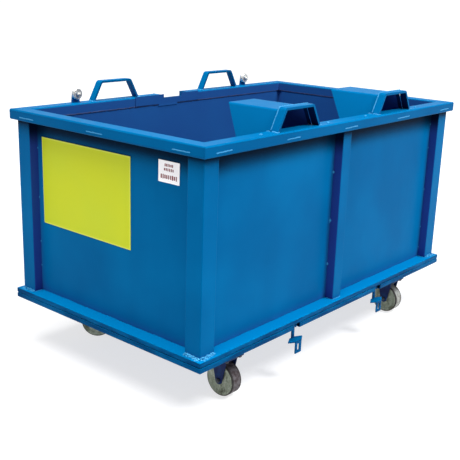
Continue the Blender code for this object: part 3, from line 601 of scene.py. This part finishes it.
def along(axis):
    """Picks the long edges that run along an axis, but not the rim's lower inner edge over the wall."""
    def chosen(edge):
        first, second = (vert.co for vert in edge.verts)
        run = second - first
        inner = (INNER_Y, INNER_X)[axis] + 0.001
        at_wall = abs(first.z - RIM_BOTTOM) < 0.001 and abs(first[1 - axis]) < inner
        return run.length > 0.05 and abs(run.normalized()[axis]) > 0.999 and not at_wall
    return chosen


def darken_inside(item, node):
    """Puts the unlit inner paint on the faces that look into a fork way."""
    low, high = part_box(node)
    middle = (low + high) / 2
    item.data.materials.append(INNER_SHADE)
    for face in item.data.polygons:
        inward = Vector((middle.x - face.center.x, 0, low.z - face.center.z))
        flat = Vector((face.normal.x, 0, face.normal.z))
        if flat.length > 0.5 and inward.dot(flat) > 0.25 * inward.length:
            face.material_index = 1


def darken_sides(item, node):
    """Puts the shaded paint on the faces of a post that step down to the walls."""
    low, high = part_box(node)
    middle = (low + high) / 2
    is_corner = "corner" in node
    item.data.materials.append(SIDE_SHADE)
    for face in item.data.polygons:
        steps_x = abs(face.normal.x) > 0.9 and abs(face.center.x) < PANEL_X
        steps_y = abs(face.normal.y) > 0.9 and abs(face.center.y) < PANEL_Y
        outward = face.normal.x * (face.center.x - middle.x) > 0
        if steps_x and (is_corner or outward) or steps_y and is_corner:
            face.material_index = 1


def bridge(bm, first, second, zone=0):
    """Quads between two rings of the same count."""
    for part in range(len(first)):
        other = (part + 1) % len(first)
        face = bm.faces.new((first[part], first[other], second[other], second[part]))
        face.material_index = zone


def bead_rings(bm, line, normal, size, seed):
    """A rippled weld bead along a line on a surface with the given outward normal."""
    start, stop = (Vector(end) for end in line)
    normal = Vector(normal).normalized()
    direction = (stop - start).normalized()
    across = normal.cross(direction).normalized()
    width, rise = size
    total = (stop - start).length
    count = max(6, int(total / (BEAD_PITCH / 3)))
    rings = []
    for step in range(count + 1):
        reach = total * step / count
        end_share = (min(step, count - step) + 0.3) / (count + 0.6)
        taper = math.sin(math.pi * min(0.5, end_share * 0.5 * total / width))
        ripple = 0.86 + 0.14 * math.cos(2 * math.pi * reach / BEAD_PITCH)
        swell = 1.0 + BEAD_ROUGHNESS * noise.noise(Vector((reach / (1.5 * BEAD_PITCH), seed, 7.0)))
        grown = max(0.12, taper) * ripple * swell
        wander = noise.noise(Vector((reach / (2.4 * BEAD_PITCH), seed, 0.0)))
        centre = start + direction * reach + across * wander * width * 0.18
        ring = []
        for part in range(BEAD_SIDES):
            angle = math.pi * (part / (BEAD_SIDES - 1))
            offset = across * math.cos(angle) * width / 2 * grown
            lift = normal * (math.sin(angle) * rise * grown - BEAD_SINK)
            ring.append(bm.verts.new(centre + offset + lift))
        rings.append(ring)
    for first, second in zip(rings, rings[1:]):
        bridge(bm, first, second)
    bm.faces.new(rings[0])
    bm.faces.new(list(reversed(rings[-1])))


def blob(bm, place, normal, size, rise, seed):
    """A weld spot: a low uneven dome on a surface."""
    turn = Vector(normal).normalized().to_track_quat("Z", "Y").to_matrix()
    grown = bmesh.ops.create_icosphere(bm, subdivisions=3, radius=1.0)
    for vert in grown["verts"]:
        bumpy = 1.0 + 0.35 * noise.noise(vert.co * 1.6 + Vector((seed, seed * 0.7, 0.0)))
        local = Vector((vert.co.x * size * bumpy, vert.co.y * size * bumpy, vert.co.z * rise * bumpy))
        vert.co = Vector(place) + turn @ local


def weld_piece(name, body, beads=(), spots=(), material=WELD_LIT):
    """All the weld metal of one place: beads (line, normal, size) and spots (place, normal, size)."""
    bm = bmesh.new()
    for index, (line, normal, size) in enumerate(beads):
        bead_rings(bm, line, normal, size, 3.7 * index + len(name))
    for index, (place, normal, size) in enumerate(spots):
        blob(bm, place, normal, size, size * 0.5, 1.9 * index + len(name))
    return piece(name, bm, material, body, WELD_SMOOTH)


def line_about(place, half, axis):
    """The two ends of a straight weld that runs a half length either way from its middle."""
    ends = []
    for sign in (-1, 1):
        ends.append(tuple(value + sign * half * (index == axis) for index, value in enumerate(place)))
    return ends


# ---------------------------------------------------------------- skins of the frame's nodes
def skins():
    for side, axis in (("near", 0), ("far", 0), ("left", 1), ("right", 1)):
        skin("rim_tube_" + side, widest=RIM_RADIUS, segments=4, only=along(axis))
        skin("base_flange_" + side, widest=BAND_RADIUS, segments=3, only=along(axis))
        skin("door_rail_" + side, widest=BAND_RADIUS, segments=3, only=along(axis))
        skin("panel_" + side, widest=PANEL_RADIUS, segments=1)
    for depth, _ in DEPTHS:
        darken_sides(skin("mid_post_" + depth, widest=FOLD_RADIUS, segments=4), "mid_post_" + depth)
        for side, _ in SIDES:
            post = f"corner_post_{depth}_{side}"
            darken_sides(skin(post, widest=FOLD_RADIUS, segments=4), post)
            skin(f"castor_fork_{depth}_{side}", widest=FORK_RADIUS, segments=3)
            skin(f"castor_axle_{depth}_{side}", BOLT, widest=BOLT_RADIUS)
    for side, _ in SIDES:
        collar = "fork_collar_" + side
        hood = "fork_hood_" + side
        darken_inside(skin(collar, widest=BAR_RADIUS, segments=4, bend=BAR_BEND), collar)
        skin("fork_loop_" + side, widest=BAR_RADIUS, segments=4, bend=BAR_BEND)
        darken_inside(skin(hood, widest=SHEET_RADIUS, segments=4, bend=SHEET_BEND), hood)
        skin("pulley_tab_" + side, widest=BOLT_RADIUS)
        skin("pulley_" + side)
        skin("hinge_hanger_" + side)
        skin("hinge_knuckle_" + side)
        skin("latch_clevis_" + side)
        skin("latch_lever_" + side, widest=LEVER_RADIUS, segments=3)
        skin("cross_member_" + side, widest=FORK_RADIUS)
        skin("castor_plate_far_" + side, widest=BOLT_RADIUS)
    for node in ("cord_guide", "door_plate", "sign_board", "rating_plate"):
        skin(node, widest=BOARD_RADIUS)


# ---------------------------------------------------------------- weld metal
def rim_stitches():
    """Intermittent welds along the outer faces of the rim tubes."""
    jitter = random.Random(4)
    for depth, sign in DEPTHS:
        beads = []
        for index in range(-2, 3):
            middle = index * STITCH_PITCH + jitter.uniform(-0.012, 0.012)
            middle = max(-HALF_L + 0.09, min(HALF_L - 0.085, middle))
            half = STITCH_LENGTH / 2 + jitter.uniform(-0.006, 0.010)
            face = sign * HALF_W
            line = [(middle - half, face, STITCH_Z), (middle + half, face, STITCH_Z + 0.002)]
            beads.append((line, (0, sign, 0), RIM_BEAD))
        weld_piece("rim_stitches_" + depth, "container", beads)
    for side, sign in SIDES:
        beads = []
        for middle in (-0.399, 0.013, 0.396):
            half = STITCH_LENGTH / 2 + jitter.uniform(-0.006, 0.004)
            beads.append((line_about((sign * HALF_L, middle, STITCH_Z), half, 1), (sign, 0, 0), RIM_BEAD))
        weld_piece("rim_stitches_" + side, "container", beads)


def mitre_welds():
    """Dressed welds across the mitred corners of the rim, the flange and the door frame."""
    for kind, body in (("rim_tube", "container"), ("base_flange", "container"), ("door_rail", "door")):
        low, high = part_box(kind + "_near")
        middle = (low.z + high.z) / 2
        half = Vector((0, 0, (high.z - low.z) / 2 - 0.003))
        top = Vector((0, 0, high.z - middle - BEAD_SINK))
        for depth, along_y in DEPTHS:
            for side, along_x in SIDES:
                outer = Vector((along_x * HALF_L, along_y * HALF_W, middle))
                inner = Vector((along_x * INNER_X, along_y * INNER_Y, middle))
                out = Vector((along_x, along_y, 0)).normalized()
                edge = outer - out * 0.0012
                start = outer - out * 0.004
                stop = inner + out * 0.003
                beads = [([edge + half, edge - half], out, MITRE_EDGE_BEAD)]
                if kind != "door_rail":
                    beads.append(([start + top, stop + top], (0, 0, 1), MITRE_TOP_BEAD))
                if kind != "base_flange":
                    beads.append(([start - top, stop - top], (0, 0, -1), MITRE_UNDER_BEAD))
                weld_piece(f"{kind}_mitre_{depth}_{side}", body, beads, material=BLUE)


def mid_post_welds(depth, sign):
    """Stitches, spots and foot fillets of the channel in the middle of a long wall."""
    face = sign * PANEL_Y
    front = sign * (POST_Y + 0.001)
    spots, beads = [], []
    for edge in (-1, 1):
        x = edge * (MID_POST_HALF + 0.0008)
        for index, z in enumerate(POST_STITCHES[1:4]):
            if (index + edge) % 2 == 0:
                beads.append((line_about((x, face, z), 0.012, 2), (edge, sign, 0), POST_BEAD))
            spots.append(((x, face + sign * 0.002, z), (edge, sign, 0), 0.0052))
        foot = [(x, face + sign * 0.004, FLANGE_TOP), (x, sign * POST_Y, FLANGE_TOP)]
        beads.append((foot, (edge, 0, 1), POST_FOOT_BEAD))
    beads.append((line_about((0, front, FLANGE_TOP), MID_POST_HALF, 0), (0, sign, 1), POST_FOOT_BEAD))
    weld_piece("mid_post_welds_" + depth, "container", beads, spots)


def corner_post_welds(depth, sign, side, across):
    """Spots along both edges of a corner post and fillets round its foot."""
    low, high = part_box(f"corner_post_{depth}_{side}")
    inside_x = low.x if across > 0 else high.x
    inside_y = low.y if sign > 0 else high.y
    face = sign * PANEL_Y
    spots = []
    for z in POST_STITCHES:
        spots.append(((inside_x - across * 0.0008, face, z), (-across, sign, 0), 0.0034))
        spots.append(((across * PANEL_X, inside_y - sign * 0.0008, z + 0.06), (across, -sign, 0), 0.0034))
    corner = Vector((across * (POST_X + 0.001), sign * (POST_Y + 0.001), FLANGE_TOP))
    heavy = 1.6 if (depth, side) == ("near", "left") else 1.0
    foot = (CORNER_FOOT_WIDTH * heavy, CORNER_FOOT_RISE * heavy)
    edge_x = inside_x - across * 0.001
    edge_y = inside_y - sign * 0.001
    beads = [([corner, (inside_x, corner.y, FLANGE_TOP)], (0, sign, 1), foot),
             ([corner, (corner.x, inside_y, FLANGE_TOP)], (across, 0, 1), foot),
             ([(edge_x, face + sign * 0.004, FLANGE_TOP), (edge_x, sign * POST_Y, FLANGE_TOP)],
              (-across, 0, 1), CORNER_SIDE_BEAD),
             ([(across * (PANEL_X + 0.004), edge_y, FLANGE_TOP), (across * POST_X, edge_y, FLANGE_TOP)],
              (0, -sign, 1), CORNER_SIDE_BEAD)]
    weld_piece(f"corner_post_welds_{depth}_{side}", "container", beads, spots)


def post_welds():
    for depth, sign in DEPTHS:
        mid_post_welds(depth, sign)
        for side, across in SIDES:
            corner_post_welds(depth, sign, side, across)


def wall_welds():
    """Stitches that join the walls to the flange outside, and the sealed seam under the rim inside, coloured
    as a painted shadow line.
    """
    outside, inside = [], []
    for sign in (-1, 1):
        for middle in (-0.52, -0.27, 0.27, 0.52):
            place = (middle, sign * PANEL_Y, FLANGE_TOP)
            outside.append((line_about(place, WALL_STITCH_HALF, 0), (0, sign, 1), WALL_BEAD))
        inside.append((line_about((0, sign * INNER_Y, SEAM_Z), INNER_X, 0), (0, -sign, 0), SEAM_BEAD))
        for middle in (-0.25, 0.0, 0.25):
            place = (sign * PANEL_X, middle, FLANGE_TOP)
            outside.append((line_about(place, WALL_STITCH_HALF, 1), (sign, 0, 1), WALL_BEAD))
        inside.append((line_about((sign * INNER_X, 0, SEAM_Z), INNER_Y, 1), (-sign, 0, 0), SEAM_BEAD))
    weld_piece("flange_stitches", "container", outside, material=BLUE)
    weld_piece("inner_seams", "container", inside, material=SEAM_SHADOW)


def bar_welds(kind, side):
    """Fillets round the two feet of a fork loop or collar. A collar's back is closed by its hood."""
    low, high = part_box(kind + side)
    beads = []
    for x, out in ((low.x, -1), (high.x, 1)):
        face = x + out * 0.0005
        line = [(face, low.y + 0.002, RIM_TOP), (face, high.y - 0.002, RIM_TOP)]
        beads.append((line, (out, 0, 1), BAR_SIDE_BEAD))
        for y, facing in ((low.y, -1), (high.y, 1)):
            if kind == "fork_loop_" or facing < 0:
                end = y + facing * 0.0005
                line = [(x, end, RIM_TOP), (x - out * 0.012, end, RIM_TOP)]
                beads.append((line, (0, facing, 1), BAR_END_BEAD))
    spots = [((x, low.y + 0.002, RIM_TOP), (0, 0, 1), 0.0050) for x in (low.x - 0.004, high.x + 0.004)]
    weld_piece(kind + side + "_welds", "container", beads, spots)


def hood_welds(side):
    """Fillets where a hood meets the rim and the back of its collar."""
    low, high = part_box("fork_hood_" + side)
    spots = [((x, -INNER_Y - 0.032, RIM_TOP), (0, 0, 1), 0.0055) for x in (low.x + 0.022, high.x - 0.022)]
    low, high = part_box("fork_collar_" + side)
    beads = []
    for x, out in ((low.x, -1), (high.x, 1)):
        face = x + out * 0.0015
        line = [(face, high.y + 0.001, RIM_TOP), (face, -INNER_Y, RIM_TOP)]
        beads.append((line, (out, 0, 1), HOOD_FOOT_BEAD))
    joint_y = high.y + 0.0008
    foot = (high.x - low.x) / 2
    middle = (high.x + low.x) / 2
    shoulder = foot * COLLAR_TAPER
    for out in (-1, 1):
        start = Vector((middle + out * foot, joint_y, RIM_TOP + 0.002))
        stop = Vector((middle + out * shoulder, joint_y, high.z))
        slope = (stop - start).normalized()
        beads.append(([start, stop], (out * slope.z, 0, -out * slope.x), COLLAR_BEAD))
    beads.append((line_about((middle, joint_y, high.z), shoulder, 0), (0, 0, 1), COLLAR_BEAD))
    weld_piece(f"fork_hood_{side}_welds", "container", beads, spots)


def fork_way_welds():
    for side, _ in SIDES:
        bar_welds("fork_collar_", side)
        bar_welds("fork_loop_", side)
        hood_welds(side)


def hinge_welds():
    """Fillets on the hinge hangers, and stitches along the cross-members."""
    for side, _ in SIDES:
        low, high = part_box("hinge_hanger_" + side)
        face = HALF_W + 0.0004
        beads = [([(x, face, FLANGE_TOP - 0.004), (x, face, FLANGE_TOP - 0.015)], (0, 1, 0), HINGE_BEAD)
                 for x in (low.x + 0.004, high.x - 0.004)]
        weld_piece("hinge_welds_" + side, "container", beads, material=BLUE)
        low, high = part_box("cross_member_" + side)
        beads = []
        for x, out in ((low.x, -1), (high.x, 1)):
            for index in range(5):
                y = -0.32 + 0.16 * index
                beads.append((line_about((x, y, high.z), MEMBER_STITCH_HALF, 1), (out, 0, -1), MEMBER_BEAD))
        weld_piece(f"cross_member_{side}_welds", "door", beads, material=BLUE)


def rough_corner_welds():
    """Uneven weld spatter where the corner posts stand on the flange, heaviest at the near left one."""
    jitter = random.Random(31)
    for depth, sign in DEPTHS:
        for side, across in SIDES:
            low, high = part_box(f"corner_post_{depth}_{side}")
            reach_x = (high.x - low.x) * 0.98
            reach_y = (high.y - low.y) * 0.98
            corner = Vector((across * POST_X, sign * POST_Y, FLANGE_TOP))
            heavy = 1.0 if (depth, side) == ("near", "left") else 0.55
            count = int(SPATTER_COUNT * heavy)
            bm = bmesh.new()
            for run, out in ((Vector((-across * reach_x, 0, 0)), Vector((0, sign, 0))),
                             (Vector((0, -sign * reach_y, 0)), Vector((across, 0, 0)))):
                for index in range(count):
                    share = (index + jitter.random()) / count
                    away = abs(jitter.gauss(0.0, 0.0060)) * (1.3 - 0.6 * share)
                    size = jitter.uniform(0.0018, 0.0050) * (0.5 + 0.5 * heavy)
                    place = corner + run * share + out * min(away, SPATTER_REACH)
                    lift = max(0.0, 0.007 - away) * jitter.uniform(0.2, 1.0)
                    blob(bm, place + Vector((0, 0, lift)), (0, 0, 1), size, size * 0.8, index * 1.3)
            # The spatter's pale colour is painted glint.
            piece(f"corner_spatter_{depth}_{side}", bm, SPATTER_GLINT, "container", WELD_SMOOTH)


# ---------------------------------------------------------------- boards
def plate_marks():
    """Generic printed rows on the small plate: upright strokes with round corners, no lettering."""
    low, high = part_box("rating_plate")
    middle = (low.y + high.y) / 2
    width, tall = high.y - low.y, high.z - low.z
    jitter = random.Random(12)
    bm = bmesh.new()
    rows = ((0.80, 0.42, 0.0105, 6), (0.60, 0.48, 0.0105, 6), (0.27, 0.80, 0.0160, 9))
    for up, share, height, count in rows:
        step = share * width / count
        for index in range(count):
            y = middle - share * width / 2 + (index + 0.5) * step
            half = Vector((step * jitter.uniform(0.28, 0.38), height * jitter.uniform(0.40, 0.50)))
            stroke(bm, low.x, y, low.z + up * tall, half)
    piece("rating_plate_marks", bm, MARK, BODY_OF["rating_plate"])


def stroke(bm, face, y, z, half):
    """One raised stroke of ink on a plate that faces -X."""
    corner = min(half) * 0.5
    ring = []
    for part in range(STROKE_SIDES):
        angle = 2 * math.pi * (part + 0.5) / STROKE_SIDES
        across = math.copysign(half.x - corner, math.cos(angle)) + corner * math.cos(angle)
        upward = math.copysign(half.y - corner, math.sin(angle)) + corner * math.sin(angle)
        ring.append(bm.verts.new((face - STROKE_RISE, y + across, z + upward)))
    cap = bm.faces.new(ring)
    grown = bmesh.ops.extrude_face_region(bm, geom=[cap])
    moved = [item for item in grown["geom"] if isinstance(item, bmesh.types.BMVert)]
    bmesh.ops.translate(bm, vec=(STROKE_THICK, 0, 0), verts=moved)


# ---------------------------------------------------------------- fasteners
def turned_rings(bm, profile, place, axis, segments):
    """One ring of vertices for each (radius, along) point, round an axis through a place."""
    turn = Vector(axis).normalized().to_track_quat("Z", "Y").to_matrix()
    rings = []
    for radius, rise in profile:
        ring = []
        for part in range(segments):
            angle = 2 * math.pi * part / segments
            local = Vector((radius * math.cos(angle), radius * math.sin(angle), rise))
            ring.append(bm.verts.new(Vector(place) + turn @ local))
        rings.append(ring)
    return rings


def turned_piece(bm, profile, place, axis, segments):
    """A solid turned from a profile, with closed ends."""
    rings = turned_rings(bm, profile, place, axis, segments)
    for first, second in zip(rings, rings[1:]):
        bridge(bm, first, second)
    bm.faces.new(list(reversed(rings[0])))
    bm.faces.new(rings[-1])


def hex_nut(bm, place, axis, across_flats, thick):
    """A nut with chamfered corners and a rounded bolt end standing out of it."""
    radius = across_flats / math.sqrt(3)
    bolt = across_flats * 0.27
    nut = [(radius * 0.92, 0.0), (radius, thick * 0.14), (radius, thick * 0.82), (radius * 0.88, thick)]
    end = [(bolt, thick * 0.5), (bolt, thick * 1.25), (bolt * 0.8, thick * 1.38), (bolt * 0.3, thick * 1.42)]
    turned_piece(bm, nut, place, axis, 6)
    turned_piece(bm, end, place, axis, 20)


def washer(bm, place, axis, radius):
    profile = [(radius * 0.96, 0.0), (radius, WASHER_THICK * 0.25), (radius, WASHER_THICK * 0.75),
               (radius * 0.96, WASHER_THICK)]
    turned_piece(bm, profile, place, axis, 28)


def joint(name):
    return Vector(JOINT_OF[name]["pos_m"]), Vector(JOINT_OF[name]["axis"])


def castor_nuts():
    """Nuts under the corners of each castor's top plate."""
    down = Vector((0, 0, -1))
    for side, _ in SIDES:
        low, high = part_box("castor_plate_far_" + side)
        middle = (low + high) / 2
        half = (high - low) / 2
        near_y = joint(f"wheel_near_{side}_roll")[0].y
        for depth, centre_y in (("near", near_y), ("far", middle.y)):
            bm = bmesh.new()
            for across in (-1, 1):
                for along_y in (-1, 1):
                    x = middle.x + across * (half.x - 0.0095)
                    place = Vector((x, centre_y + along_y * (half.y - 0.012), low.z))
                    washer(bm, place, down, WASHER_RADIUS)
                    hex_nut(bm, place + down * WASHER_THICK, down, NUT_FLATS, NUT_THICK)
            piece(f"castor_nuts_{depth}_{side}", bm, BOLT, "door", BOLT_SMOOTH)


def pulley_nuts():
    """A zinc washer and nut on each pulley bolt, over the head of the tab's stub."""
    inward = Vector((0, -1, 0))
    for side, _ in SIDES:
        place, _ = joint(f"pulley_{side}_spin")
        place.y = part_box("pulley_tab_" + side)[0].y + 0.0004
        bm = bmesh.new()
        washer(bm, place, inward, PULLEY_WASHER_RADIUS)
        hex_nut(bm, place + inward * 0.0012, inward, PULLEY_NUT_FLATS, PULLEY_NUT_THICK)
        piece(f"pulley_nut_{side}", bm, ZINC, "container", BOLT_SMOOTH)


def latch_pin_heads(side):
    place, _ = joint(f"latch_{side}_pivot")
    low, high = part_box("latch_clevis_" + side)
    bm = bmesh.new()
    for x, out in ((low.x, -1), (high.x, 1)):
        turned_piece(bm, PIN_HEAD, (x, place.y, place.z), (out, 0, 0), 24)
    piece(f"latch_pin_heads_{side}", bm, BOLT, "door", BOLT_SMOOTH)


def axle_nuts(depth, side):
    """Nuts at both ends of an axle bolt, let into its heads."""
    node = f"castor_axle_{depth}_{side}"
    centre, axis = joint(f"wheel_{depth}_{side}_roll")
    reach = max((vert.co - centre).dot(axis) for vert in NODES[node].data.vertices)
    bm = bmesh.new()
    for out in (-1, 1):
        hex_nut(bm, centre + axis * out * (reach - 0.0010), axis * out, AXLE_NUT_FLATS, AXLE_NUT_THICK)
    piece(f"castor_axle_nuts_{depth}_{side}", bm, BOLT, BODY_OF[node], BOLT_SMOOTH)


def pins_and_axles():
    for side, _ in SIDES:
        latch_pin_heads(side)
        for depth, _ in DEPTHS:
            axle_nuts(depth, side)


# ---------------------------------------------------------------- wheels
def wheel_profile():
    """Half section of the cast wheel from bore to tread middle: (radius, along, material)."""
    points = [(BORE, HUB_HALF - 0.0006, 0), (BORE + 0.0006, HUB_HALF, 0), (0.0140, HUB_HALF, 0),
              (0.0150, HUB_HALF - 0.0006, 0), (0.0165, WHEEL_WEB + 0.0002, 0), (0.0185, WHEEL_WEB, 0),
              (0.0435, WHEEL_WEB, 0), (0.0450, WHEEL_WEB + 0.0004, 0), (0.0465, WHEEL_HALF - 0.0004, 0),
              (0.0480, WHEEL_HALF, 0), (0.0550, WHEEL_HALF + 0.0001, 0)]
    for part in range(7):
        angle = math.radians(90 - 15 * part)
        points.append((WHEEL_RADIUS - WHEEL_CORNER + WHEEL_CORNER * math.cos(angle),
                       WHEEL_HALF - WHEEL_CORNER + WHEEL_CORNER * math.sin(angle), 1))
    points += [(WHEEL_RADIUS - 0.00015, WHEEL_HALF - 0.0075, 2), (WHEEL_RADIUS - 0.00005, 0.008, 2)]
    return points


def wheels():
    """Turned castor wheels with rounded tread corners, standing for the wheel nodes."""
    half = wheel_profile()
    profile = half + [(radius, -rise, zone) for radius, rise, zone in reversed(half)]
    outline = [(radius, rise) for radius, rise, _ in profile]
    zones = [zone for _, _, zone in profile]
    for depth, _ in DEPTHS:
        for side, _ in SIDES:
            place, axis = joint(f"wheel_{depth}_{side}_roll")
            bm = bmesh.new()
            rings = turned_rings(bm, outline, place, axis, WHEEL_SEGMENTS)
            for index, first in enumerate(rings):
                other = (index + 1) % len(rings)
                bridge(bm, first, rings[other], min(zones[index], zones[other]))
            node = f"castor_wheel_{depth}_{side}"
            wheel = piece(node + "_turned", bm, NYLON, BODY_OF[node], 40.0)
            # Near-black on the rounded tread corners, which gives the wheel a dark outline.
            wheel.data.materials.append(WHEEL_EDGE_DARK)
            # The left wheels get the darker tread as painted shade, the right ones the pale tread.
            wheel.data.materials.append(PALE_TREAD if side == "right" else TREAD_SHADE)
            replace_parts(wheel, node)


add_camera()
add_light()
add_floor()
bpy.context.scene.view_settings.view_transform = "Standard"
skins()
rim_stitches()
mitre_welds()
post_welds()
wall_welds()
fork_way_welds()
plate_marks()
castor_nuts()
wheels()
pulley_nuts()
pins_and_axles()
hinge_welds()
rough_corner_welds()
